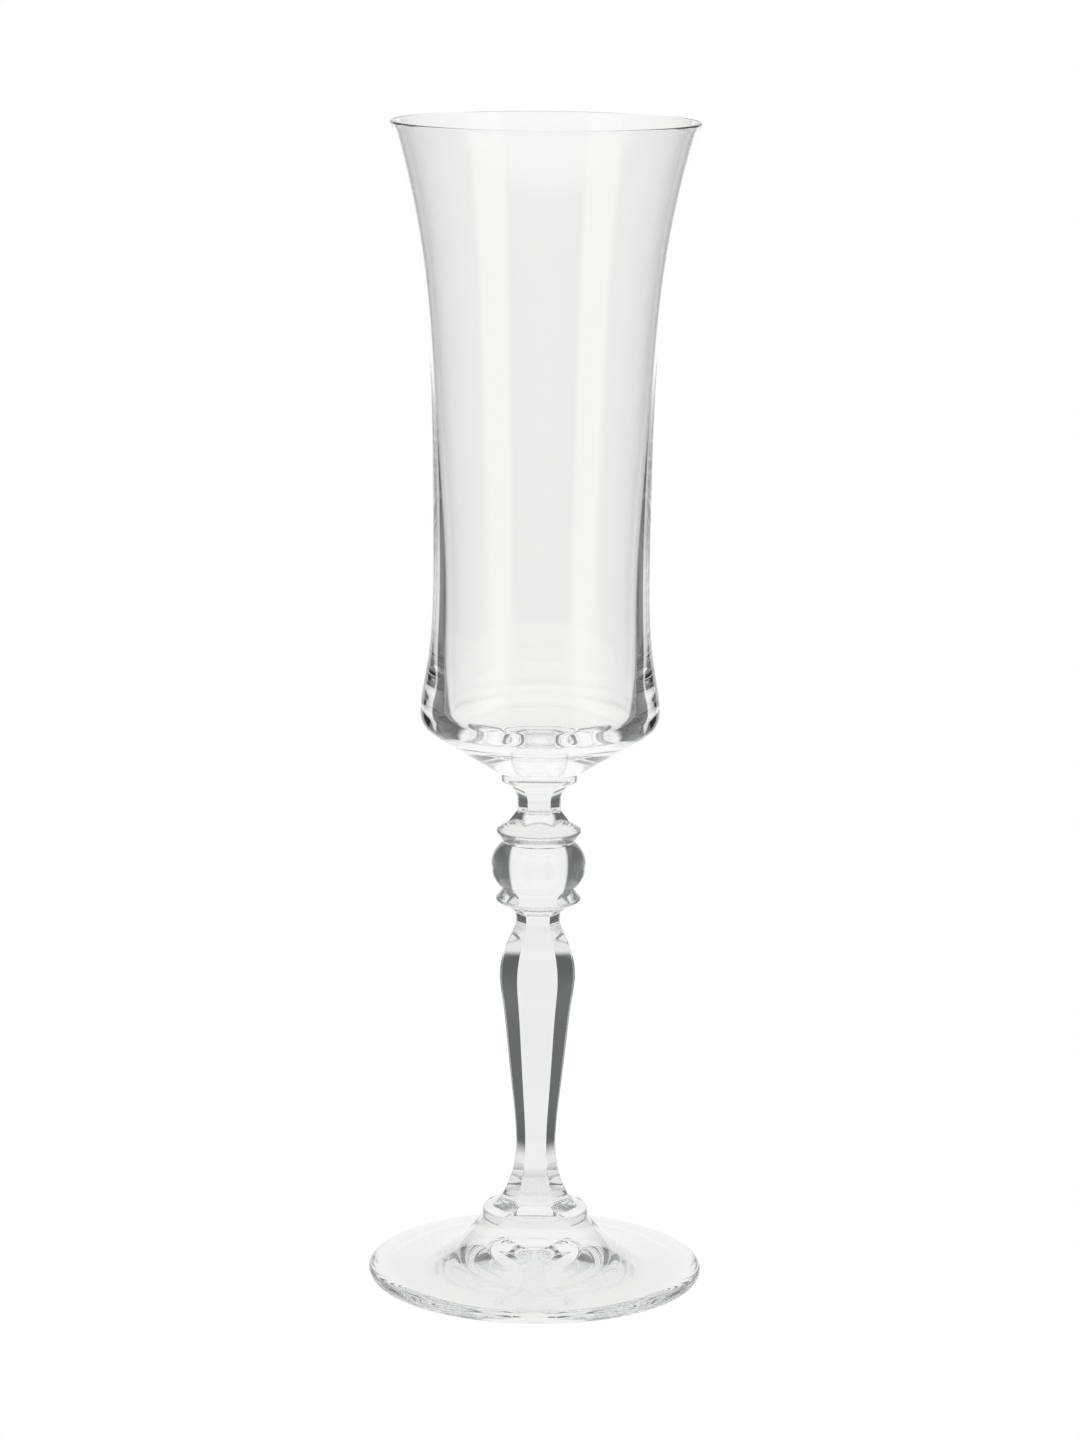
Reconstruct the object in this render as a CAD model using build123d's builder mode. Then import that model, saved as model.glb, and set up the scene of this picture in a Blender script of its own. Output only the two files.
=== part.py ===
"""Champagne flute: nine pieces of clear glass, fused one on top of the other.

Millimetres, +Z up. The origin is the centre of the ring that the foot stands on, so that the
glass rises from Z = 0. One flat of the six-sided stem faces -Y.
"""

import os

from build123d import *

# ---------------------------------------------------------------- driving dimensions

# Heights where one piece ends and the next begins, from the foot up.
FOOT_TOP = 13.2
FOOT_MERESE_TOP = 15.4
BALUSTER_TOP = 80.6
LOWER_WAIST = 86.3
UPPER_WAIST = 96.5
NECK_FOOT = 103.0
NECK_TOP = 109.9
BOWL_FOOT = 111.7
RIM_HEIGHT = 250.0

# Foot.
FOOT_RADIUS = 36.1
FOOT_EDGE_THICKNESS = 3.3
FOOT_EDGE_ROUNDING = 2.7       # how far in from the edge the top surface starts to roll over
STANDING_RING_OUTER = FOOT_RADIUS - 0.5 * FOOT_EDGE_THICKNESS
STANDING_RING_INNER = 31.6
FOOT_HOLLOW_DEPTH = 7.0        # at the middle, above the standing ring
FOOT_CONE_TOP_RADIUS = 11.4

# Discs between the stem and its neighbours.
FOOT_MERESE_RADIUS = 11.4
FOOT_MERESE_ROUNDING = 0.5
BOWL_MERESE_RADIUS = 8.15
BOWL_MERESE_ROUNDING = 0.25

# Ball and its two collars.
BALL_RADIUS = 10.2
BALL_MIDDLE_LIFT = 0.5         # height above the middle of the two waists where BALL_RADIUS is reached
WAIST_RADIUS = 7.45
COLLAR_RADIUS = 9.1
COLLAR_LIP = 0.35              # height of the narrow upright band at each collar's edge
UPPER_LIP_HEIGHT = 99.2
LOWER_LIP_HEIGHT = 84.0
COLLAR_CONE_TOP = (5.0, 101.9) # where the upper collar's cone runs under the facets
COLLAR_ROLL_END = (5.9, 82.1)  # where the lower collar's underside runs in to the facets

# Six-sided stem: distances from the axis to a corner of the hexagon.
UPPER_NECK_CORNER = 4.7
UPPER_NECK_FOOT_CORNER = 5.05
UPPER_NECK_WAIST = 103.9       # height where the neck becomes straight
UPPER_NECK_FLARE = 106.0       # height where it starts to flare to the disc above
BALUSTER_NECK_CORNER = 4.85
BALUSTER_NECK_FOOT = 79.0      # height where the baluster becomes straight
PLINTH_CORNER = 9.6
PLINTH_TOP = (8.45, 16.8)      # corner and height where the plinth turns into the flare
CORNER_ROUNDING = 0.16         # corner radius as a share of the distance to the corner
STATION_SPACING = 1.2          # along the outline, between the hexagons of a long loft

# Bowl.
RIM_RADIUS = 32.5
WAIST_OUTER = 23.0
BULGE_RADIUS = 25.5
BULGE_HEIGHT = 124.8
BOWL_BASE_RADIUS = 9.15        # where the solid cone of the base begins
BOWL_BASE_ROUNDING = 0.3       # how far the cone begins above the disc
SHOULDER_START = (21.4, 119.6)
CAVITY_FLOOR = 120.0
CAVITY_CORNER_RADIUS = 6.0
CAVITY_RADIUS = 21.0
FLOOR_RISE = 0.35              # from the middle of the floor to where its corner begins
WALL_AT_RIM = 0.9

SIDES = 6


# ---------------------------------------------------------------- six-sided stations

def hexagon(corner, height):
    """Sketch a hexagon with softened corners, lying flat at a height.

    `corner` is the distance from the axis to where a corner would be if it were sharp.
    """
    with BuildSketch(Plane.XY.offset(height)) as station:
        RegularPolygon(radius=corner, side_count=SIDES)
        fillet(station.vertices(), radius=CORNER_ROUNDING * corner)
    return station.sketch


def hexagons_along(outline):
    """Sketch evenly spaced hexagons whose corners lie on an edge drawn in the XZ plane."""
    count = max(2, round(outline.length / STATION_SPACING))
    points = [outline @ (step / count) for step in range(count + 1)]
    return [hexagon(point.X, point.Z) for point in points]


# ---------------------------------------------------------------- foot

# Half section of the foot. The top is one hollow curve from the steep cone out to the flat
# plate, the edge rolls over to the standing ring, and the underside is a bell-shaped hollow that
# rises under the cone.
with BuildPart() as foot:
    with BuildSketch(Plane.XZ):
        with BuildLine():
            cone_top = (FOOT_CONE_TOP_RADIUS, FOOT_TOP)
            plate_edge = (FOOT_RADIUS - FOOT_EDGE_ROUNDING, FOOT_EDGE_THICKNESS)
            edge_middle = (FOOT_RADIUS, 0.5 * FOOT_EDGE_THICKNESS)
            Line((0, FOOT_TOP), cone_top)
            Spline(
                cone_top, (15.8, 8.3), (22.0, 5.0), plate_edge,
                tangents=[(1, -1.25), (1, -0.06)],
            )
            Spline(plate_edge, edge_middle, tangents=[(1, -0.06), (0, -1)])
            TangentArc(edge_middle, (STANDING_RING_OUTER, 0), tangent=(0, -1))
            Line((STANDING_RING_OUTER, 0), (STANDING_RING_INNER, 0))
            Spline(
                (0, FOOT_HOLLOW_DEPTH), (7.0, 5.95), (14.0, 3.45), (20.0, 1.8), (STANDING_RING_INNER, 0),
                tangents=[(1, 0), (1, -0.19)],
            )
            Line((0, FOOT_HOLLOW_DEPTH), (0, FOOT_TOP))
        make_face()
    revolve(axis=Axis.Z)
foot.part.label = "foot"

# ---------------------------------------------------------------- foot merese

# Flat round disc under the stem, its upper edge softened.
with BuildPart() as foot_merese:
    with BuildSketch(Plane.XY.offset(FOOT_TOP)):
        Circle(FOOT_MERESE_RADIUS)
    extrude(amount=FOOT_MERESE_TOP - FOOT_TOP)
    fillet(foot_merese.edges().filter_by(GeomType.CIRCLE).sort_by(Axis.Z)[-1], FOOT_MERESE_ROUNDING)
foot_merese.part.label = "foot_merese"

# ---------------------------------------------------------------- baluster

# The corner line of the stem, from the plinth up: the flare, the slender shank, the long
# swelling and the quick return to the neck. Hexagons are lofted along it.
with BuildLine(Plane.XZ) as baluster_corner:
    Spline(
        PLINTH_TOP, (5.85, 21.0), (4.5, 27.0), (5.15, 40.0), (6.45, 51.5), (7.65, 61.5),
        (8.3, 67.0), (7.6, 71.9), (5.9, 76.2), (BALUSTER_NECK_CORNER, BALUSTER_NECK_FOOT),
        tangents=[(-1, 0.9), (-0.15, 1)],
    )

with BuildPart() as baluster:
    loft([hexagon(PLINTH_CORNER, FOOT_MERESE_TOP), hexagon(*PLINTH_TOP)])
    loft(hexagons_along(baluster_corner.edge()), ruled=True)
    loft([
        hexagon(BALUSTER_NECK_CORNER, BALUSTER_NECK_FOOT), hexagon(BALUSTER_NECK_CORNER, BALUSTER_TOP),
    ])
baluster.part.label = "baluster"

# ---------------------------------------------------------------- lower collar

# Round collar: a steep upper slope, a narrow lip, and an underside that rolls in. Below it the
# six facets of the baluster's neck flare up to meet it.
with BuildPart() as lower_collar:
    with BuildSketch(Plane.XZ):
        with BuildLine():
            lip_top = (COLLAR_RADIUS, LOWER_LIP_HEIGHT + COLLAR_LIP)
            lip_foot = (COLLAR_RADIUS, LOWER_LIP_HEIGHT)
            roll_axis = (0, COLLAR_ROLL_END[1])
            Polyline(roll_axis, (0, LOWER_WAIST), (WAIST_RADIUS, LOWER_WAIST), lip_top, lip_foot)
            ThreePointArc(lip_foot, (7.45, 83.1), COLLAR_ROLL_END)
            Line(COLLAR_ROLL_END, roll_axis)
        make_face()
    revolve(axis=Axis.Z)
    loft([hexagon(BALUSTER_NECK_CORNER, BALUSTER_TOP), hexagon(5.45, 81.5), hexagon(6.7, 82.4)])
lower_collar.part.label = "lower_collar"

# ---------------------------------------------------------------- ball knop

# Flattened ball between its two waists: one arc, fullest a little above the middle.
with BuildPart() as ball_knop:
    with BuildSketch(Plane.XZ):
        with BuildLine():
            ball_middle = 0.5 * (LOWER_WAIST + UPPER_WAIST) + BALL_MIDDLE_LIFT
            ball_foot = (WAIST_RADIUS, LOWER_WAIST)
            ball_top = (WAIST_RADIUS, UPPER_WAIST)
            ThreePointArc(ball_foot, (BALL_RADIUS, ball_middle), ball_top)
            Polyline(ball_top, (0, UPPER_WAIST), (0, LOWER_WAIST), ball_foot)
        make_face()
    revolve(axis=Axis.Z)
ball_knop.part.label = "ball_knop"

# ---------------------------------------------------------------- upper collar

# Round cone over a narrow lip, its underside running in to the ball. The six facets of the
# neck flare down and run out into the cone in shallow scallops.
with BuildPart() as upper_collar:
    with BuildSketch(Plane.XZ):
        with BuildLine():
            Polyline(
                (0, UPPER_WAIST), (WAIST_RADIUS, UPPER_WAIST),
                (COLLAR_RADIUS, UPPER_LIP_HEIGHT - COLLAR_LIP), (COLLAR_RADIUS, UPPER_LIP_HEIGHT),
                COLLAR_CONE_TOP, (0, COLLAR_CONE_TOP[1]), close=True,
            )
        make_face()
    revolve(axis=Axis.Z)
    loft([hexagon(6.95, 100.6), hexagon(UPPER_NECK_FOOT_CORNER, NECK_FOOT)])
upper_collar.part.label = "upper_collar"

# ---------------------------------------------------------------- upper neck

# Short six-sided neck, flaring a little to the collar and hollowly out to the disc above.
with BuildLine(Plane.XZ) as neck_flare:
    Spline(
        (UPPER_NECK_CORNER, UPPER_NECK_FLARE), (5.45, 107.9), (6.65, 109.2), (7.6, NECK_TOP),
        tangents=[(0.15, 1), (1, 0.6)],
    )

with BuildPart() as upper_neck:
    neck_waist = hexagon(UPPER_NECK_CORNER, UPPER_NECK_WAIST)
    loft([hexagon(UPPER_NECK_FOOT_CORNER, NECK_FOOT), neck_waist])
    loft([neck_waist, hexagon(UPPER_NECK_CORNER, UPPER_NECK_FLARE)])
    loft(hexagons_along(neck_flare.edge()), ruled=True)
upper_neck.part.label = "upper_neck"

# ---------------------------------------------------------------- bowl merese

# Short round disc under the bowl, its lower edge softened.
with BuildPart() as bowl_merese:
    with BuildSketch(Plane.XY.offset(NECK_TOP)):
        Circle(BOWL_MERESE_RADIUS)
    extrude(amount=BOWL_FOOT - NECK_TOP)
    fillet(bowl_merese.edges().filter_by(GeomType.CIRCLE).sort_by(Axis.Z)[0], BOWL_MERESE_ROUNDING)
bowl_merese.part.label = "bowl_merese"

# ---------------------------------------------------------------- bowl

# Half section of the bowl. Outside: the solid cone of the base, the round shoulder, the waisted
# wall and the trumpet flare. Inside: the same waist with a wall that thins upwards, down to a
# nearly flat floor with a round corner. The rim is fire-polished round.
with BuildPart() as bowl:
    with BuildSketch(Plane.XZ):
        with BuildLine():
            rim_middle = RIM_HEIGHT - 0.5 * WALL_AT_RIM
            seat_edge = (BOWL_MERESE_RADIUS, BOWL_FOOT)
            base_start = (BOWL_BASE_RADIUS, BOWL_FOOT + BOWL_BASE_ROUNDING)
            bulge = (BULGE_RADIUS, BULGE_HEIGHT)
            outer_rim = (RIM_RADIUS, rim_middle)
            inner_rim = (RIM_RADIUS - WALL_AT_RIM, rim_middle)
            cavity_side = (CAVITY_RADIUS, CAVITY_FLOOR + FLOOR_RISE + CAVITY_CORNER_RADIUS)
            cavity_floor_edge = (CAVITY_RADIUS - CAVITY_CORNER_RADIUS, CAVITY_FLOOR + FLOOR_RISE)
            Line((0, BOWL_FOOT), seat_edge)
            TangentArc(seat_edge, base_start, tangent=(1, 0))
            base_cone = Line(base_start, SHOULDER_START)
            Spline(SHOULDER_START, (24.6, 122.0), bulge, tangents=[base_cone % 1, (0, 1)])
            Spline(
                bulge, (24.3, 134.0), (WAIST_OUTER, 162.0), (23.5, 191.5), (25.9, 220.5), outer_rim,
                tangents=[(0, 1), (0.31, 1)],
            )
            ThreePointArc(outer_rim, (RIM_RADIUS - 0.5 * WALL_AT_RIM, RIM_HEIGHT), inner_rim)
            Spline(
                inner_rim, (25.15, 220.5), (22.75, 191.5), (21.35, 170.0), (20.45, 147.0), cavity_side,
                tangents=[(-0.31, -1), (0, -1)],
            )
            TangentArc(cavity_side, cavity_floor_edge, tangent=(0, -1))
            TangentArc((0, CAVITY_FLOOR), cavity_floor_edge, tangent=(1, 0))
            Line((0, CAVITY_FLOOR), (0, BOWL_FOOT))
        make_face()
    revolve(axis=Axis.Z)
bowl.part.label = "bowl"

# ---------------------------------------------------------------- files

os.makedirs("parts", exist_ok=True)
export_step(foot.part, "parts/foot.step")
export_step(foot_merese.part, "parts/foot_merese.step")
export_step(baluster.part, "parts/baluster.step")
export_step(lower_collar.part, "parts/lower_collar.step")
export_step(ball_knop.part, "parts/ball_knop.step")
export_step(upper_collar.part, "parts/upper_collar.step")
export_step(upper_neck.part, "parts/upper_neck.step")
export_step(bowl_merese.part, "parts/bowl_merese.step")
export_step(bowl.part, "parts/bowl.step")
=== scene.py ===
"""Champagne flute in clear glass, dressed for a bright-field studio picture.

Nine fused pieces are rebuilt as exact lathe and six-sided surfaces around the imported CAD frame.
Where two pieces are fused, each carries a weld finish that lets light straight through, so that
the whole glass refracts as one body.
"""

import logging
import math
from dataclasses import dataclass
from enum import Enum
from typing import Sequence

import bpy
import numpy as np
from mathutils import Matrix, Vector


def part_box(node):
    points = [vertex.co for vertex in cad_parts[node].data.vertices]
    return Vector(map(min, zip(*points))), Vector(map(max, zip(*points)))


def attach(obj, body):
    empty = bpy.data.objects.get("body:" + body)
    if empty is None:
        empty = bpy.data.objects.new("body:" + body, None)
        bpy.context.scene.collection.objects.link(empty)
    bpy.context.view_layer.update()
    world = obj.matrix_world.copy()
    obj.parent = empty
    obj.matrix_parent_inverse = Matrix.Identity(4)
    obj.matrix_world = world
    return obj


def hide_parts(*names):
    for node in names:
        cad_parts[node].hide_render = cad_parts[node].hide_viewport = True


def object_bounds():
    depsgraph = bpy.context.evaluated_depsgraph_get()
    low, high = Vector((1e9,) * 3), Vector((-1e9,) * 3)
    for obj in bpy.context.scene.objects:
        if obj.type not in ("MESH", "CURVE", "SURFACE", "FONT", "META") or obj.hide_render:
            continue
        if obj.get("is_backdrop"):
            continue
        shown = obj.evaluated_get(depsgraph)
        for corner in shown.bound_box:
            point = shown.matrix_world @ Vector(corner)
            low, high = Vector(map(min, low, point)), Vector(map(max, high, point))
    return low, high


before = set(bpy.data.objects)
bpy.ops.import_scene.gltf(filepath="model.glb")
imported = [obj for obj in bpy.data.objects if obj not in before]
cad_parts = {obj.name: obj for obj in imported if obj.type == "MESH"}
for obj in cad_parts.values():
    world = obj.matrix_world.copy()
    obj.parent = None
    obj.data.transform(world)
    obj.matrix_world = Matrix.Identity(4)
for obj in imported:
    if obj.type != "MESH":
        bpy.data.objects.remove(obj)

log = logging.getLogger("flute")

MM = 0.001
ROOT_BODY = "root"

Array = np.ndarray
Point = tuple[float, float]
Path = tuple[Point, ...]
Span = tuple[float, float]


# ------------------------------------------------------------------ outlines


class Outline:
    """A half section drawn point by point, as (distance from the axis, height) pairs in mm."""

    def __init__(self, start: Point) -> None:
        """Start the outline.

        Args:
            start: First point, in mm.
        """
        self.runs: list[Array] = [np.array([start], dtype=float)]

    @property
    def end(self) -> Array:
        """The last point drawn so far."""
        return self.runs[-1][-1]

    def line(self, end: Point, steps: int = 1) -> "Outline":
        """Draw a straight run, as evenly spaced points.

        Args:
            end: Where the run ends, in mm.
            steps: How many equal steps it takes.

        Returns:
            The outline, so that calls can follow each other.
        """
        share = np.linspace(0.0, 1.0, steps + 1)[1:, None]
        self.runs.append(self.end + share * (np.array(end) - self.end))
        return self

    def arc(self, centre: Point, sweep: float, steps: int) -> "Outline":
        """Draw a round run by turning the last point about a centre.

        Args:
            centre: Centre of the arc, in mm.
            sweep: Angle turned, in degrees, counter-clockwise in the half section.
            steps: How many equal steps it takes.

        Returns:
            The outline.
        """
        spoke = self.end - np.array(centre)
        turn = np.radians(sweep) * np.linspace(0.0, 1.0, steps + 1)[1:]
        across = spoke[0] * np.cos(turn) - spoke[1] * np.sin(turn)
        up = spoke[0] * np.sin(turn) + spoke[1] * np.cos(turn)
        self.runs.append(np.array(centre) + np.column_stack([across, up]))
        return self

    def curve(self, knots: Sequence[Point], leave: Point, arrive: Point, steps: int) -> "Outline":
        """Draw a clamped cubic spline from the last point through some knots.

        The parameter is the chord length between knots. The slopes at the knots solve the usual
        tridiagonal system that makes the second derivative continuous, with the two end slopes
        given, and each span is then a Hermite cubic.

        Args:
            knots: Points that the curve passes through, the last one being its end, in mm.
            leave: Direction in which it leaves the last point.
            arrive: Direction in which it arrives at its end.
            steps: How many equal steps of the parameter it takes.

        Returns:
            The outline.
        """
        points = np.vstack([self.end, np.array(knots, dtype=float)])
        spans = np.linalg.norm(np.diff(points, axis=0), axis=1)
        at = np.concatenate([[0.0], np.cumsum(spans)])
        slopes = spline_slopes(points, spans, unit(leave), unit(arrive))
        where = np.linspace(0.0, at[-1], steps + 1)[1:]
        span = np.clip(np.searchsorted(at, where, side="left") - 1, 0, len(spans) - 1)
        width = spans[span][:, None]
        t = (where - at[span])[:, None] / width
        start, finish = points[span], points[span + 1]
        self.runs.append(
            (2 * t**3 - 3 * t**2 + 1) * start
            + (t**3 - 2 * t**2 + t) * width * slopes[span]
            + (3 * t**2 - 2 * t**3) * finish
            + (t**3 - t**2) * width * slopes[span + 1]
        )
        return self

    def bend(self, end: Point, leave: Point, steps: int) -> "Outline":
        """Draw a round run that leaves the last point in a given direction and meets an end.

        The centre lies square to the direction, at the chord's square over twice the chord's
        reach along that normal, and the arc turns through twice the angle from the direction to
        the chord.

        Args:
            end: Where the arc ends, in mm.
            leave: Direction in which it leaves the last point.
            steps: How many equal steps it takes.

        Returns:
            The outline.
        """
        along = unit(leave)
        normal = np.array([-along[1], along[0]])
        chord = np.array(end) - self.end
        centre = self.end + normal * (chord @ chord) / (2 * (chord @ normal))
        sweep = 2 * math.degrees(math.atan2(chord @ normal, chord @ along))
        return self.arc(tuple(centre), sweep, steps)

    def through(self, middle: Point, end: Point, steps: int) -> "Outline":
        """Draw a round run through a middle point to an end.

        The centre is where the two chords' perpendicular bisectors cross.

        Args:
            middle: A point on the arc, in mm.
            end: Where the arc ends, in mm.
            steps: How many equal steps it takes.

        Returns:
            The outline.
        """
        start, on, stop = self.end, np.array(middle), np.array(end)
        chords = np.vstack([on - start, stop - start])
        halves = 0.5 * np.array([on @ on - start @ start, stop @ stop - start @ start])
        centre = np.linalg.solve(chords, halves)
        first, last = start - centre, stop - centre
        cross = first[0] * last[1] - first[1] * last[0]
        return self.arc(tuple(centre), math.degrees(math.atan2(cross, first @ last)), steps)

    def points(self) -> Array:
        """All the points, one row each, in metres."""
        return np.vstack(self.runs) * MM

    def rings(self, around: int) -> Array:
        """Round rings at the outline's points: one row each, one column an angle, in metres."""
        return np.repeat(self.points()[:, :1], around, axis=1)


def unit(direction: Point) -> Array:
    """A direction as a vector one long."""
    vector = np.array(direction, dtype=float)
    return vector / np.linalg.norm(vector)


def spline_slopes(points: Array, spans: Array, first: Array, last: Array) -> Array:
    """Slopes of a clamped cubic spline at its knots.

    Args:
        points: Knots, one row each.
        spans: Chord length of each span.
        first: Slope at the first knot.
        last: Slope at the last knot.

    Returns:
        One slope a row, for each knot.
    """
    count = len(points)
    system = np.eye(count)
    right = np.zeros_like(points)
    right[0], right[-1] = first, last
    steps = np.diff(points, axis=0) / spans[:, None]
    inner = np.arange(1, count - 1)
    before, after = spans[inner - 1], spans[inner]
    system[inner, inner - 1] = after
    system[inner, inner] = 2 * (before + after)
    system[inner, inner + 1] = before
    right[inner] = 3 * (after[:, None] * steps[inner - 1] + before[:, None] * steps[inner])
    return np.linalg.solve(system, right)


# ------------------------------------------------------------------ sections


@dataclass(frozen=True)
class Hexagon:
    """The six-sided section of the pressed stem, with softened corners on the X axis.

    A section is a polar curve. Near a corner it is the far side of a small circle whose centre
    lies on the corner's ray, and between corners it is a straight side: the distance to the side
    over the cosine of the angle from the side's middle.

    Attributes:
        rounding: Radius of the corner circle, as a share of the corner's distance.
        sides: How many sides there are.
        steps_at_corner: Points along one rounded corner.
        steps_on_side: Points along one straight side.
    """

    rounding: float = 0.16
    sides: int = 6
    steps_at_corner: int = 10
    steps_on_side: int = 22

    @property
    def half_side(self) -> float:
        """Half of the angle that one side spans."""
        return math.pi / self.sides

    @property
    def corner_centre(self) -> float:
        """How far out the corner circle's centre lies, for a corner at distance 1."""
        return 1.0 - self.rounding / math.cos(self.half_side)

    @property
    def corner_angle(self) -> float:
        """Angle from the corner's ray to where the corner circle meets the side."""
        reach = self.rounding * math.sin(self.half_side)
        return math.atan2(reach, self.corner_centre + self.rounding * math.cos(self.half_side))

    def angles(self) -> Array:
        """Angles round the section, closer together at the corners."""
        at_corner = np.linspace(-self.corner_angle, self.corner_angle, self.steps_at_corner + 1)
        on_side = np.linspace(
            self.corner_angle, 2 * self.half_side - self.corner_angle, self.steps_on_side + 1
        )
        one = np.concatenate([at_corner[:-1], on_side[:-1]])
        turns = 2 * self.half_side * np.arange(self.sides)
        return (turns[:, None] + one[None, :]).ravel()

    def radius(self, angles: Array) -> Array:
        """Distance to the section at each angle, for a sharp corner at distance 1."""
        fold = np.abs((angles + self.half_side) % (2 * self.half_side) - self.half_side)
        centre = self.corner_centre
        under = np.maximum(self.rounding**2 - (centre * np.sin(fold)) ** 2, 0.0)
        corner = centre * np.cos(fold) + np.sqrt(under)
        side = math.cos(self.half_side) / np.cos(self.half_side - fold)
        return np.where(fold <= self.corner_angle, corner, side)


HEXAGON = Hexagon()
ROUND_STEPS = 256
NEAR_AXIS = 0.2  # in mm: where an outline stops short of the axis and the cap's fan takes over


def soft_max(first: Array, second: Array, blend: float) -> Array:
    """The larger of two surfaces, with the crease between them rounded over a blend width."""
    overlap = np.maximum(blend - np.abs(first - second), 0.0) / blend
    return np.maximum(first, second) + overlap**2 * blend / 4


# ------------------------------------------------------------------ meshes


@dataclass
class Skin:
    """A closed surface made of rings stacked from the middle of the base to the middle of the top.

    Attributes:
        angles: Angles round the axis, shared by all the rings.
        radii: Distance from the axis, one row a ring, in metres.
        heights: Height of each ring, in metres.
        base_welded: Whether the fan at the base is a fused face.
        crown_welded: Whether the fan at the top is a fused face.
    """

    angles: Array
    radii: Array
    heights: Array
    base_welded: bool
    crown_welded: bool

    def build(self, name: str) -> bpy.types.Object:
        """Make the mesh: strips of quads between rings, and a fan of triangles at each pole.

        Args:
            name: Name of the object.

        Returns:
            The new object, standing at the origin.
        """
        rings, around = self.radii.shape
        across = self.radii * np.cos(self.angles)
        along = self.radii * np.sin(self.angles)
        up = np.broadcast_to(self.heights[:, None], self.radii.shape)
        grid = np.stack([across, along, up], axis=-1).reshape(-1, 3)
        poles = np.array([[0, 0, self.heights[0]], [0, 0, self.heights[-1]]])
        here = np.arange(around)
        after = (here + 1) % around
        first = np.arange(rings - 1)[:, None] * around
        low, beside = first + here, first + after
        quads = np.stack([low, beside, beside + around, low + around], axis=-1).reshape(-1, 4)
        base, crown = rings * around, rings * around + 1
        below = np.column_stack([np.full(around, base), after, here])
        lift = (rings - 1) * around
        above = np.column_stack([np.full(around, crown), lift + here, lift + after])
        mesh = bpy.data.meshes.new(name)
        faces = quads.tolist() + below.tolist() + above.tolist()
        mesh.from_pydata(np.vstack([grid, poles]).tolist(), [], faces)
        counts = (len(quads), around, around)
        finish = np.repeat([0, int(self.base_welded), int(self.crown_welded)], counts)
        mesh.polygons.foreach_set("material_index", finish.astype(np.int32))
        mesh.update()
        thing = bpy.data.objects.new(name, mesh)
        bpy.context.scene.collection.objects.link(thing)
        return thing


def turned(outline: Array, around: int = ROUND_STEPS) -> tuple[Array, Array, Array]:
    """A round skin's rings: the outline carried round the axis.

    Args:
        outline: Points of the half section, in metres, without the two on the axis.
        around: How many points a ring has.

    Returns:
        The angles, the radii and the heights.
    """
    angles = np.linspace(0.0, 2 * math.pi, around, endpoint=False)
    radii = np.repeat(outline[:, :1], around, axis=1)
    return angles, radii, outline[:, 1]


def faceted(outline: Outline, base_welded: bool, crown_welded: bool) -> Skin:
    """A six-sided skin: the outline is the line of its corners.

    Args:
        outline: Distance to a sharp corner against height.
        base_welded: Whether its base is a fused face.
        crown_welded: Whether its top is a fused face.

    Returns:
        The skin, each ring being the hexagon times the corner's distance.
    """
    angles = HEXAGON.angles()
    points = outline.points()
    radii = points[:, :1] * HEXAGON.radius(angles)[None, :]
    return Skin(angles, radii, points[:, 1], base_welded, crown_welded)


# ------------------------------------------------------------------ finishes


class Slot(Enum):
    """The record's material slots."""

    BOWL = "bowl_glass"
    STEM = "stem_glass"
    FOOT = "foot_glass"


@dataclass(frozen=True)
class GlassFinish:
    """Clear soda glass: a hint of tint, and the slow ripple that blowing or pressing leaves.

    Attributes:
        name: Name of the material.
        tint: What a wall passes of red, green and blue.
        ripple_size: Wavelength of the ripple, in metres.
        ripple_depth: Height of the ripple, in metres.
        stretch: How many times longer the ripple is round the glass than up it.
        haze: Highest roughness, in the faint marks that polishing and washing leave.
        mark_size: Size of those marks, in metres.
        marked: From what part of their noise the marks begin to where they are strongest.
        index: Refractive index.
    """

    name: str
    tint: tuple[float, float, float]
    ripple_size: float
    ripple_depth: float
    stretch: float
    haze: float = 0.004
    mark_size: float = 1 / 90
    marked: Span = (0.55, 0.8)
    index: float = 1.52

    def material(self) -> bpy.types.Material:
        """The material, made once and found again by its name.

        Returns:
            A node material with constant clearness and index, and rippled normals.
        """
        known = bpy.data.materials.get(self.name)
        if known is not None:
            return known
        made = bpy.data.materials.new(self.name)
        made.use_nodes = True
        tree = made.node_tree
        shader = tree.nodes["Principled BSDF"]
        shader.inputs["Base Color"].default_value = (*self.tint, 1.0)
        shader.inputs["Transmission Weight"].default_value = 1.0
        shader.inputs["IOR"].default_value = self.index
        place = tree.nodes.new("ShaderNodeTexCoord")
        scale = tree.nodes.new("ShaderNodeMapping")
        scale.inputs["Scale"].default_value = (1.0, 1.0, self.stretch)
        tree.links.new(place.outputs["Object"], scale.inputs["Vector"])
        ripple = tree.nodes.new("ShaderNodeTexNoise")
        ripple.inputs["Scale"].default_value = 1.0 / self.ripple_size
        ripple.inputs["Detail"].default_value = 1.0
        tree.links.new(scale.outputs["Vector"], ripple.inputs["Vector"])
        bump = tree.nodes.new("ShaderNodeBump")
        bump.inputs["Strength"].default_value = 1.0
        bump.inputs["Distance"].default_value = self.ripple_depth
        tree.links.new(ripple.outputs["Fac"], bump.inputs["Height"])
        tree.links.new(bump.outputs["Normal"], shader.inputs["Normal"])
        marks = tree.nodes.new("ShaderNodeTexNoise")
        marks.inputs["Scale"].default_value = 1.0 / self.mark_size
        marks.inputs["Detail"].default_value = 3.0
        tree.links.new(place.outputs["Object"], marks.inputs["Vector"])
        spread = tree.nodes.new("ShaderNodeMapRange")
        spread.inputs["From Min"].default_value = self.marked[0]
        spread.inputs["From Max"].default_value = self.marked[1]
        spread.inputs["To Max"].default_value = self.haze
        tree.links.new(marks.outputs["Fac"], spread.inputs["Value"])
        tree.links.new(spread.outputs["Result"], shader.inputs["Roughness"])
        return made


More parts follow.
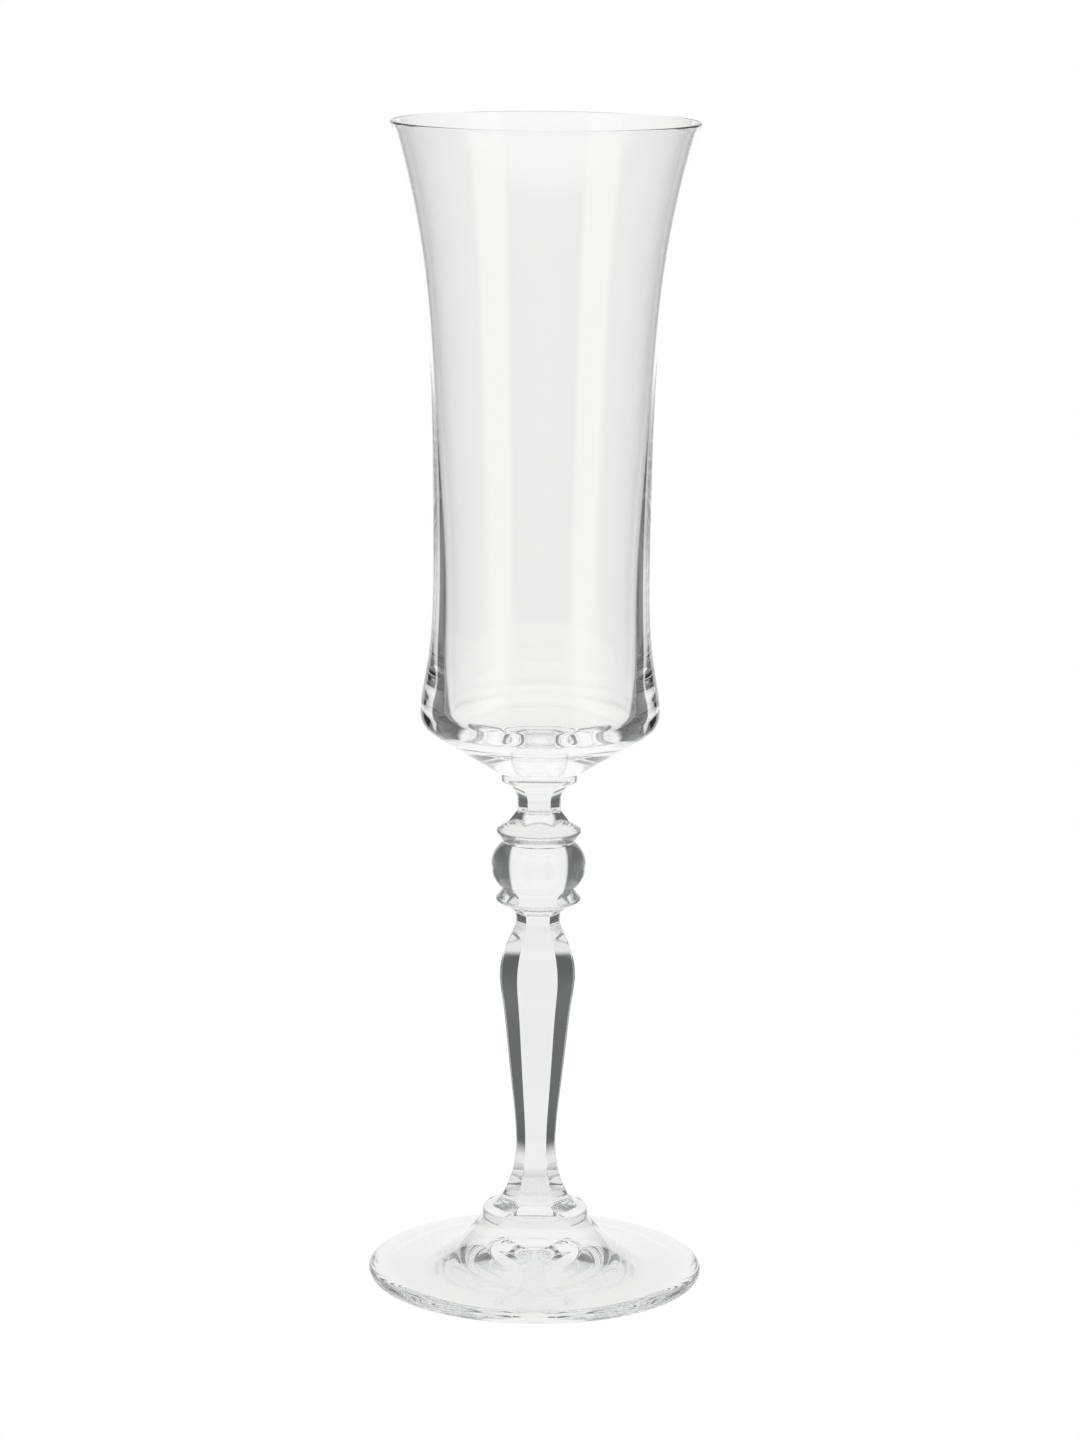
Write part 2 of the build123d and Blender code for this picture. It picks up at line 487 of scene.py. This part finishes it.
@dataclass(frozen=True)
class WeldFinish:
    """The face where two hot pieces fused: one glass runs on into the next, and light with it."""

    name: str = "fused_face"

    def material(self) -> bpy.types.Material:
        """The material, made once and found again by its name."""
        known = bpy.data.materials.get(self.name)
        if known is not None:
            return known
        made = bpy.data.materials.new(self.name)
        made.use_nodes = True
        tree = made.node_tree
        tree.nodes.remove(tree.nodes["Principled BSDF"])
        clear = tree.nodes.new("ShaderNodeBsdfTransparent")
        output = tree.nodes["Material Output"]
        tree.links.new(clear.outputs["BSDF"], output.inputs["Surface"])
        return made


BLOWN = GlassFinish(
    "blown_glass", (0.985, 0.985, 0.97), ripple_size=0.014, ripple_depth=0.0000025, stretch=1.6
)
PRESSED = GlassFinish(
    "pressed_glass", (0.9, 0.905, 0.89), ripple_size=0.006, ripple_depth=0.000003, stretch=1.5
)
SPUN = GlassFinish(
    "spun_glass", (0.89, 0.9, 0.885), ripple_size=0.006, ripple_depth=0.000004, stretch=3.0
)
WELD = WeldFinish()


# ------------------------------------------------------------------ pieces


@dataclass
class GlassPiece:
    """One gather of glass: a skin around a CAD node, its finish and its fused faces.

    Attributes:
        node: The CAD node that the piece stands for, and the piece's own name.
        slot: The record's material slot. Not used.
        finish: The glass it is made of.
        base_welded: Whether the face at its base is fused to the piece below.
        crown_welded: Whether the face at its top is fused to the piece above.
        crease: Angle between faces above which an edge is kept sharp, in degrees.
    """

    node: str
    slot: Slot
    finish: GlassFinish
    base_welded: bool = True
    crown_welded: bool = True
    crease: float = 24.0

    def skin(self) -> Skin:
        """The piece's surface. Each kind of piece draws its own."""
        raise NotImplementedError

    def build(self) -> bpy.types.Object:
        """Make, dress and hang the piece.

        Returns:
            The finished object, riding on the glass's one body.
        """
        thing = self.skin().build(f"{self.node}_glass")
        mesh = thing.data
        mesh.materials.append(self.finish.material())
        if self.base_welded or self.crown_welded:
            mesh.materials.append(WELD.material())
        mesh.shade_smooth()
        mesh.set_sharp_from_angle(angle=math.radians(self.crease))
        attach(thing, ROOT_BODY)
        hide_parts(self.node)
        log.info("%s: %d faces, %s", thing.name, len(mesh.polygons), self.finish.name)
        return thing

    def floor_and_top(self) -> tuple[float, float]:
        """Lowest and highest point of the CAD node, in mm."""
        low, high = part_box(self.node)
        return low[2] / MM, high[2] / MM


@dataclass
class Bowl(GlassPiece):
    """Blown flute bowl: solid cone base, round shoulder, waisted wall, trumpet mouth. In mm."""

    node: str = "bowl"
    slot: Slot = Slot.BOWL
    finish: GlassFinish = BLOWN
    crown_welded: bool = False
    seat_radius: float = 8.15
    base_radius: float = 9.15
    base_rounding: float = 0.3
    shoulder_start: Point = (21.4, 119.6)
    shoulder: Path = ((24.6, 122.0), (25.5, 124.8))
    wall: Path = ((24.3, 134.0), (23.0, 162.0), (23.5, 191.5), (25.9, 220.5))
    lining: Path = ((25.15, 220.5), (22.75, 191.5), (21.35, 170.0), (20.45, 147.0))
    mouth_lean: float = 0.31
    rim_radius: float = 32.5
    wall_at_rim: float = 0.9
    cavity_radius: float = 21.0
    cavity_floor: float = 120.0
    floor_rise: float = 0.35
    cavity_corner: float = 6.0
    around: int = 240

    def skin(self) -> Skin:
        """Half section from the seat, up the outside, over the rim and down to the cavity floor."""
        seat, top = self.floor_and_top()
        rim = self.rim_radius - 0.5 * self.wall_at_rim
        rim_middle = top - 0.5 * self.wall_at_rim
        base_start = (self.base_radius, seat + self.base_rounding)
        cone = (self.shoulder_start[0] - base_start[0], self.shoulder_start[1] - base_start[1])
        corner_foot = self.cavity_floor + self.floor_rise
        side_end = (self.cavity_radius, corner_foot + self.cavity_corner)
        floor_edge = (self.cavity_radius - self.cavity_corner, corner_foot)
        outline = Outline((self.seat_radius, seat))
        outline.bend(base_start, (1, 0), 6)
        outline.line(self.shoulder_start, 12)
        outline.curve(self.shoulder, cone, (0, 1), 22)
        mouth = (self.rim_radius, rim_middle)
        outline.curve([*self.wall, mouth], (0, 1), (self.mouth_lean, 1), 110)
        outline.arc((rim, rim_middle), 180, 12)
        outline.curve([*self.lining, side_end], (-self.mouth_lean, -1), (0, -1), 110)
        outline.bend(floor_edge, (0, -1), 16)
        outline.curve([(NEAR_AXIS, self.cavity_floor)], (-1, -0.04), (-1, 0), 16)
        return Skin(*turned(outline.points(), self.around), self.base_welded, self.crown_welded)


@dataclass
class BowlMerese(GlassPiece):
    """The disc under the bowl. Its base is fused to the six-sided neck, inside a narrow ledge."""

    node: str = "bowl_merese"
    slot: Slot = Slot.STEM
    finish: GlassFinish = PRESSED
    radius: float = 8.15
    edge: float = 0.25
    neck_corner: float = 7.6

    def skin(self) -> Skin:
        """Ledge round the neck, softened lower edge, and an upright side."""
        foot, top = self.floor_and_top()
        outline = Outline((self.radius - self.edge, foot))
        outline.bend((self.radius, foot + self.edge), (1, 0), 5)
        outline.line((self.radius, top), 4)
        angles = HEXAGON.angles()
        ledge = HEXAGON.radius(angles) * self.neck_corner * MM
        rings = np.vstack([ledge, outline.rings(len(angles))])
        heights = np.concatenate([[foot * MM], outline.points()[:, 1]])
        return Skin(angles, rings, heights, self.base_welded, self.crown_welded)


@dataclass
class UpperNeck(GlassPiece):
    """Short six-sided neck, flaring a little to the collar and hollowly out to the disc above."""

    node: str = "upper_neck"
    slot: Slot = Slot.STEM
    finish: GlassFinish = PRESSED
    foot_corner: float = 5.05
    corner: float = 4.7
    head_corner: float = 7.6

    def skin(self) -> Skin:
        """Corner line of the neck, carried round the hexagon."""
        foot, top = self.floor_and_top()
        outline = Outline((self.foot_corner, foot))
        outline.curve([(self.corner, foot + 0.9)], (-0.5, 1), (0, 1), 8)
        outline.line((self.corner, top - 3.9), 6)
        flare = [(5.45, top - 2.0), (6.65, top - 0.7), (self.head_corner, top)]
        outline.curve(flare, (0.15, 1), (1, 0.6), 24)
        return faceted(outline, self.base_welded, self.crown_welded)


@dataclass
class UpperCollar(GlassPiece):
    """Collar over the ball: a round cone with a soft lip, and six facets that run out into it."""

    node: str = "upper_collar"
    slot: Slot = Slot.STEM
    finish: GlassFinish = PRESSED
    waist_radius: float = 7.45
    lip_radius: float = 9.1
    lip_softening: float = 0.15
    lip_foot: float = 98.65
    lip_top: float = 99.3
    facet_foot: Point = (6.95, 100.6)
    facet_head: float = 5.05
    facet_run_out: float = 0.4
    cone_head: Point = (5.0, 101.9)
    cone_end: float = 4.0
    blend: float = 0.25

    def skin(self) -> Skin:
        """The round cone and the six-sided flare, whichever stands further out, blended."""
        foot, top = self.floor_and_top()
        lip = self.lip_radius - self.lip_softening
        outline = Outline((self.waist_radius, foot))
        outline.line((lip, self.lip_foot), 8)
        outline.bend((lip, self.lip_top), (0.45, 1), 8)
        outline.line(self.cone_head, 24)
        outline.line((self.cone_end, top), 12)
        points = outline.points() / MM
        angles = HEXAGON.angles()
        share = (points[:, 1] - self.facet_foot[1]) / (top - self.facet_foot[1])
        corner = self.facet_foot[0] + share * (self.facet_head - self.facet_foot[0])
        corner = np.where(share < -self.facet_run_out, 0.0, corner)
        facets = corner[:, None] * HEXAGON.radius(angles)[None, :]
        round_part = np.repeat(points[:, :1], len(angles), axis=1)
        rings = soft_max(round_part, facets, self.blend)
        rings[-1] = facets[-1]
        return Skin(angles, rings * MM, points[:, 1] * MM, self.base_welded, self.crown_welded)


@dataclass
class BallKnop(GlassPiece):
    """Flattened ball between the two waists."""

    node: str = "ball_knop"
    slot: Slot = Slot.STEM
    finish: GlassFinish = PRESSED
    waist_radius: float = 7.45
    radius: float = 10.2
    middle_lift: float = 0.5

    def skin(self) -> Skin:
        """An arc from waist to waist, set by a point just above the middle, widest at the middle."""
        foot, top = self.floor_and_top()
        middle = 0.5 * (foot + top) + self.middle_lift
        outline = Outline((self.waist_radius, foot))
        outline.through((self.radius, middle), (self.waist_radius, top), 72)
        return Skin(*turned(outline.points()), self.base_welded, self.crown_welded)


@dataclass
class LowerCollar(GlassPiece):
    """Collar under the ball: steep round slope, soft lip, underside that rolls into facets."""

    node: str = "lower_collar"
    slot: Slot = Slot.STEM
    finish: GlassFinish = PRESSED
    waist_radius: float = 7.45
    lip_radius: float = 9.1
    lip_foot: float = 83.85
    lip_top: float = 84.45
    roll: Point = (7.45, 83.1)
    neck_corner: float = 4.85
    blend: float = 0.3

    def skin(self) -> Skin:
        """The rolled underside and the six-sided flare below it, blended, then lip and slope."""
        foot, top = self.floor_and_top()
        angles = HEXAGON.angles()
        flare = Outline((self.neck_corner, foot))
        flare.curve([(5.45, foot + 0.9), (6.9, foot + 2.0)], (0.1, 1), (1, 0.5), 20)
        lip_start = (self.lip_radius - 0.1, self.lip_foot)
        under = Outline((6.2, foot + 1.7))
        under.curve([self.roll, lip_start], (1, 0.25), (0.75, 1), 20)
        lip = Outline(lip_start)
        lip.bend((self.lip_radius - 0.15, self.lip_top), (0.5, 1), 8)
        lip.line((self.waist_radius, top), 10)
        low, high = flare.points() / MM, under.points() / MM
        heights = np.concatenate([low[:, 1], high[high[:, 1] > low[-1, 1], 1]])
        corner = np.interp(heights, low[:, 1], low[:, 0])
        corner = np.where(heights > low[-1, 1], 0.0, corner)
        disc = np.interp(heights, high[:, 1], high[:, 0])
        disc = np.where(heights < high[0, 1], 0.0, disc)
        facets = corner[:, None] * HEXAGON.radius(angles)[None, :]
        rings = soft_max(np.repeat(disc[:, None], len(angles), axis=1), facets, self.blend)
        rings[0] = facets[0]
        rings = np.vstack([rings * MM, lip.rings(len(angles))[1:]])
        heights = np.concatenate([heights * MM, lip.points()[1:, 1]])
        return Skin(angles, rings, heights, self.base_welded, self.crown_welded)


@dataclass
class Baluster(GlassPiece):
    """Long six-sided stem: plinth, flare, slender shank, long swelling and its own short neck."""

    node: str = "baluster"
    slot: Slot = Slot.STEM
    finish: GlassFinish = PRESSED
    plinth_corner: float = 9.6
    flare_foot: Point = (8.45, 16.8)
    flare: Path = ((5.85, 21.0), (4.5, 27.0))
    swelling: Path = (
        (5.15, 40.0), (6.45, 51.5), (7.65, 61.5), (8.3, 67.0), (7.6, 71.9), (5.9, 76.2),
    )
    neck: Point = (4.85, 79.0)

    def skin(self) -> Skin:
        """Corner line of the stem, carried round the hexagon."""
        foot, top = self.floor_and_top()
        outline = Outline((self.plinth_corner, foot))
        outline.line(self.flare_foot, 5)
        outline.curve([*self.flare, *self.swelling, self.neck], (-1, 0.9), (-0.15, 1), 190)
        outline.line((self.neck[0], top), 5)
        return faceted(outline, self.base_welded, self.crown_welded)


@dataclass
class FootMerese(GlassPiece):
    """Round disc between stem and foot, with the stem's plinth fused to the middle of its top."""

    node: str = "foot_merese"
    slot: Slot = Slot.STEM
    finish: GlassFinish = PRESSED
    radius: float = 11.4
    edge: float = 0.5
    plinth_corner: float = 9.6

    def skin(self) -> Skin:
        """Upright side, softened upper edge, and a flat top in to the plinth."""
        foot, top = self.floor_and_top()
        outline = Outline((self.radius, foot))
        outline.line((self.radius, top - self.edge), 4)
        outline.arc((self.radius - self.edge, top - self.edge), 90, 6)
        angles = HEXAGON.angles()
        plinth = HEXAGON.radius(angles) * self.plinth_corner * MM
        rings = np.vstack([outline.rings(len(angles)), plinth])
        heights = np.concatenate([outline.points()[:, 1], [top * MM]])
        return Skin(angles, rings, heights, self.base_welded, self.crown_welded)


@dataclass
class Foot(GlassPiece):
    """Round foot: cone on top, rolled edge, narrow standing ring, bell-shaped hollow below."""

    node: str = "foot"
    slot: Slot = Slot.FOOT
    finish: GlassFinish = SPUN
    base_welded: bool = False
    radius: float = 36.1
    edge_thickness: float = 3.3
    edge_rounding: float = 2.7
    ring_outer: float = 34.45
    ring_inner: float = 31.6
    hollow: Path = ((20.0, 1.8), (14.0, 3.45), (7.0, 5.95))
    hollow_top: float = 7.0
    cone: Path = ((15.8, 8.3), (22.0, 5.0))
    cone_top: float = 11.4

    def skin(self) -> Skin:
        """Half section from the cone's top, round the edge and in under the hollow, reversed."""
        _, top = self.floor_and_top()
        plate_edge = (self.radius - self.edge_rounding, self.edge_thickness)
        outline = Outline((self.cone_top, top))
        outline.curve([*self.cone, plate_edge], (1, -1.25), (1, -0.06), 90)
        outline.curve([(self.radius, 0.5 * self.edge_thickness)], (1, -0.06), (0, -1), 16)
        outline.bend((self.ring_outer, 0), (0, -1), 14)
        outline.line((self.ring_inner, 0), 3)
        outline.curve([*self.hollow, (NEAR_AXIS, self.hollow_top)], (-1, 0.19), (-1, 0), 80)
        points = outline.points()[::-1]
        return Skin(*turned(points), self.base_welded, self.crown_welded)


# ------------------------------------------------------------------ studio


@dataclass(frozen=True)
class Surround:
    """The studio as a glass sees it, by compass direction: white wall behind, dark sides, lights.

    Attributes:
        wall_half: Half width of the white wall behind the glass, in degrees.
        wall_edge: How far its edge fades inwards and outwards, in degrees.
        lights: Where the two tall lights in front of the glass begin and end, in degrees from the
            middle of the wall.
        light_edge: How far the lights' edges fade, in degrees.
        dark: Colour of the dark sides, low down.
        dim: Colour of the dark sides, high up.
        rise: Where the dark sides begin to lighten and where they end, from 0 straight down to 1
            straight up.
        room: Brightness between the two lights.
        light: Brightness of the two lights.
        ceiling: Brightness overhead.
        ground: Brightness of the floor of the room, well below the table.
        ceiling_edge: Upward part of the direction where the ceiling begins and is complete.
        ground_edge: The same for the floor of the room.
    """

    wall_half: float = 28.0
    wall_edge: Span = (1.5, 2.0)
    lights: Span = (116.0, 142.0)
    light_edge: float = 6.0
    dark: tuple[float, float, float] = (0.125, 0.134, 0.138)
    dim: tuple[float, float, float] = (0.26, 0.28, 0.29)
    rise: Span = (0.35, 0.75)
    room: float = 0.05
    light: float = 0.62
    ceiling: float = 1.0
    ground: float = 0.95
    ceiling_edge: Span = (0.42, 0.6)
    ground_edge: Span = (-0.48, -0.57)

    def compass(
        self, tree: bpy.types.NodeTree, direction: bpy.types.NodeSocket
    ) -> bpy.types.NodeSocket:
        """Nodes for the brightness by compass direction, the same left and right.

        Args:
            tree: Node tree to add them to.
            direction: A vector from the glass outwards.

        Returns:
            The colour socket.
        """
        parts = tree.nodes.new("ShaderNodeSeparateXYZ")
        tree.links.new(direction, parts.inputs[0])
        aside = maths(tree, "ABSOLUTE", parts.outputs["X"])
        angle = maths(tree, "ARCTAN2", aside, parts.outputs["Y"])
        share = maths(tree, "DIVIDE", angle, math.pi)
        ramp = tree.nodes.new("ShaderNodeValToRGB")
        tree.links.new(share, ramp.inputs["Fac"])
        first, last = self.lights
        inwards, outwards = self.wall_edge
        grey, lit, white = (self.room,) * 3, (self.light,) * 3, (1.0,) * 3
        stops = [
            (self.wall_half - inwards, white), (self.wall_half + outwards, self.dark),
            (first - self.light_edge, self.dark), (first, lit),
            (last, lit), (last + self.light_edge, grey),
        ]
        band = ramp.color_ramp
        band.elements[0].position, band.elements[0].color = 0.0, (*white, 1.0)
        band.elements[1].position, band.elements[1].color = 1.0, (*grey, 1.0)
        for degrees, colour in stops:
            band.elements.new(degrees / 180.0).color = (*colour, 1.0)
        return ramp.outputs["Color"]

    def lift(
        self, tree: bpy.types.NodeTree, level: bpy.types.NodeSocket, height: bpy.types.NodeSocket
    ) -> bpy.types.NodeSocket:
        """Nodes that keep the dark sides from being one flat tone: lighter as they rise.

        Args:
            tree: Node tree to add them to.
            level: Brightness by compass direction.
            height: Upward part of the direction.

        Returns:
            The colour socket.
        """
        ramp = tree.nodes.new("ShaderNodeValToRGB")
        tree.links.new(maths(tree, "MULTIPLY_ADD", height, 0.5, 0.5), ramp.inputs["Fac"])
        low, high = ramp.color_ramp.elements
        low.position, low.color = self.rise[0], (*self.dark, 1.0)
        high.position, high.color = self.rise[1], (*self.dim, 1.0)
        lighter = tree.nodes.new("ShaderNodeMixRGB")
        lighter.blend_type = "LIGHTEN"
        lighter.inputs["Fac"].default_value = 1.0
        tree.links.new(level, lighter.inputs["Color1"])
        tree.links.new(ramp.outputs["Color"], lighter.inputs["Color2"])
        return lighter.outputs["Color"]

    def dress_world(self) -> None:
        """Light the scene from all round: soft ceiling above, pale floor far below."""
        world = bpy.data.worlds.new("studio")
        world.use_nodes = True
        tree = world.node_tree
        place = tree.nodes.new("ShaderNodeTexCoord")
        level = self.compass(tree, place.outputs["Generated"])
        parts = tree.nodes.new("ShaderNodeSeparateXYZ")
        tree.links.new(place.outputs["Generated"], parts.inputs[0])
        level = self.lift(tree, level, parts.outputs["Z"])
        edges = ((self.ceiling, self.ceiling_edge), (self.ground, self.ground_edge))
        for tone, edge in edges:
            level = blend(tree, level, tone, parts.outputs["Z"], *edge)
        tree.links.new(level, tree.nodes["Background"].inputs["Color"])
        bpy.context.scene.world = world


def blend(
    tree: bpy.types.NodeTree,
    colour: bpy.types.NodeSocket,
    grey: float,
    value: bpy.types.NodeSocket,
    first: float,
    last: float,
) -> bpy.types.NodeSocket:
    """Nodes that go smoothly from a colour to a grey as a value goes from one number to another.

    Args:
        tree: Node tree to add them to.
        colour: The colour to begin with.
        grey: Brightness to end with.
        value: What the change follows.
        first: Value at which the change begins.
        last: Value at which it is complete.

    Returns:
        The colour socket.
    """
    share = tree.nodes.new("ShaderNodeMapRange")
    share.interpolation_type = "SMOOTHSTEP"
    share.inputs["From Min"].default_value = first
    share.inputs["From Max"].default_value = last
    tree.links.new(value, share.inputs["Value"])
    mix = tree.nodes.new("ShaderNodeMixRGB")
    mix.inputs["Color2"].default_value = (grey, grey, grey, 1.0)
    tree.links.new(share.outputs["Result"], mix.inputs["Fac"])
    tree.links.new(colour, mix.inputs["Color1"])
    return mix.outputs["Color"]


def maths(
    tree: bpy.types.NodeTree, operation: str, *values: bpy.types.NodeSocket | float
) -> bpy.types.NodeSocket:
    """One Math node.

    Args:
        tree: Node tree to add it to.
        operation: Name of the operation.
        values: Sockets or numbers for its inputs, in order.

    Returns:
        Its output socket.
    """
    node = tree.nodes.new("ShaderNodeMath")
    node.operation = operation
    for socket, value in zip(node.inputs, values):
        if isinstance(value, bpy.types.NodeSocket):
            tree.links.new(value, socket)
        else:
            socket.default_value = value
    return node.outputs[0]


@dataclass(frozen=True)
class Table:
    """A small round table top of opal, lit from below, that fades out round the foot.

    Attributes:
        radius: Radius of the table top, in metres.
        solid: Out to where it is opaque, in metres.
        shaded: Brightness of the painted shade under the middle of the foot.
        shade_edge: How far out the painted shade begins to fade and where it ends, in metres.
        clearance: How far it lies below the foot, in metres.
        segments: Corners of its outline.
    """

    radius: float = 0.1
    solid: float = 0.046
    shaded: float = 0.9
    shade_edge: Span = (0.03, 0.0355)
    clearance: float = 0.00005
    segments: int = 96

    def build(self) -> bpy.types.Object:
        """Make the table top just under the glass.

        Returns:
            The table top, marked as staging.
        """
        angles = np.arange(self.segments) * 2 * math.pi / self.segments
        rim = np.column_stack([np.cos(angles), np.sin(angles), 0 * angles]) * self.radius
        mesh = bpy.data.meshes.new("table")
        mesh.from_pydata(rim.tolist(), [], [list(range(self.segments))])
        low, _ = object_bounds()
        table = bpy.data.objects.new("table", mesh)
        table.location.z = low.z - self.clearance
        bpy.context.scene.collection.objects.link(table)
        mesh.materials.append(self.material())
        table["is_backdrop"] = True
        return table

    def material(self) -> bpy.types.Material:
        """Glow by distance from the middle, and see-through at the edge."""
        made = bpy.data.materials.new("opal_table")
        made.use_nodes = True
        tree = made.node_tree
        tree.nodes.remove(tree.nodes["Principled BSDF"])
        place = tree.nodes.new("ShaderNodeTexCoord")
        away = tree.nodes.new("ShaderNodeVectorMath")
        away.operation = "LENGTH"
        tree.links.new(place.outputs["Object"], away.inputs[0])
        # painted shade under the foot: the glow is this grey in the middle and turns white further
        # out
        shade = tree.nodes.new("ShaderNodeRGB")
        shade.outputs[0].default_value = (self.shaded, self.shaded, self.shaded, 1.0)
        glow = blend(tree, shade.outputs[0], 1.0, away.outputs["Value"], *self.shade_edge)
        lamp = tree.nodes.new("ShaderNodeEmission")
        tree.links.new(glow, lamp.inputs["Color"])
        clear = tree.nodes.new("ShaderNodeBsdfTransparent")
        fade = tree.nodes.new("ShaderNodeMapRange")
        fade.interpolation_type = "SMOOTHSTEP"
        fade.inputs["From Min"].default_value = self.solid
        fade.inputs["From Max"].default_value = self.radius
        tree.links.new(away.outputs["Value"], fade.inputs["Value"])
        both = tree.nodes.new("ShaderNodeMixShader")
        tree.links.new(fade.outputs["Result"], both.inputs["Fac"])
        tree.links.new(lamp.outputs["Emission"], both.inputs[1])
        tree.links.new(clear.outputs["BSDF"], both.inputs[2])
        tree.links.new(both.outputs["Shader"], tree.nodes["Material Output"].inputs["Surface"])
        return made


@dataclass(frozen=True)
class Camera:
    """A long lens in front of the glass, looking a little down.

    Attributes:
        distance: How far in front of the glass's axis it stands, in metres.
        height: How high it stands above the table, in metres.
        pitch: How far down it looks, in degrees.
        roll: How far it leans, in degrees.
        lens: Focal length, in mm.
        film: Long side of the film, in mm.
    """

    distance: float = 0.953
    height: float = 0.3116
    pitch: float = 11.192
    roll: float = 0.581
    lens: float = 113.92
    film: float = 36.0

    def build(self) -> bpy.types.Object:
        """Make the camera and set it as the scene's."""
        data = bpy.data.cameras.new("front_camera")
        data.lens = self.lens
        data.sensor_width = self.film
        camera = bpy.data.objects.new("front_camera", data)
        bpy.context.scene.collection.objects.link(camera)
        look = Matrix.Rotation(math.radians(90 - self.pitch), 4, "X")
        lean = Matrix.Rotation(math.radians(self.roll), 4, "Z")
        camera.matrix_world = (
            Matrix.Translation(Vector((0, -self.distance, self.height))) @ look @ lean
        )
        bpy.context.scene.camera = camera
        return camera


def set_film() -> None:
    """Show light as it is, and let rays cross every wall of the glass."""
    scene = bpy.context.scene
    scene.view_settings.view_transform = "Standard"
    scene.view_settings.look = "None"
    scene.cycles.max_bounces = 48
    scene.cycles.transmission_bounces = 48
    scene.cycles.glossy_bounces = 32
    scene.cycles.transparent_max_bounces = 64
    scene.cycles.use_denoising = True


def main() -> None:
    """Build the glass from the foot up, then the studio round it."""
    logging.basicConfig(level=logging.INFO, format="%(message)s")
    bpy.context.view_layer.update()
    pieces = [
        Foot(), FootMerese(), Baluster(), LowerCollar(), BallKnop(), UpperCollar(),
        UpperNeck(), BowlMerese(), Bowl(),
    ]
    for piece in pieces:
        piece.build()
    Surround().dress_world()
    Table().build()
    Camera().build()
    set_film()


if __name__ == "__main__":
    main()
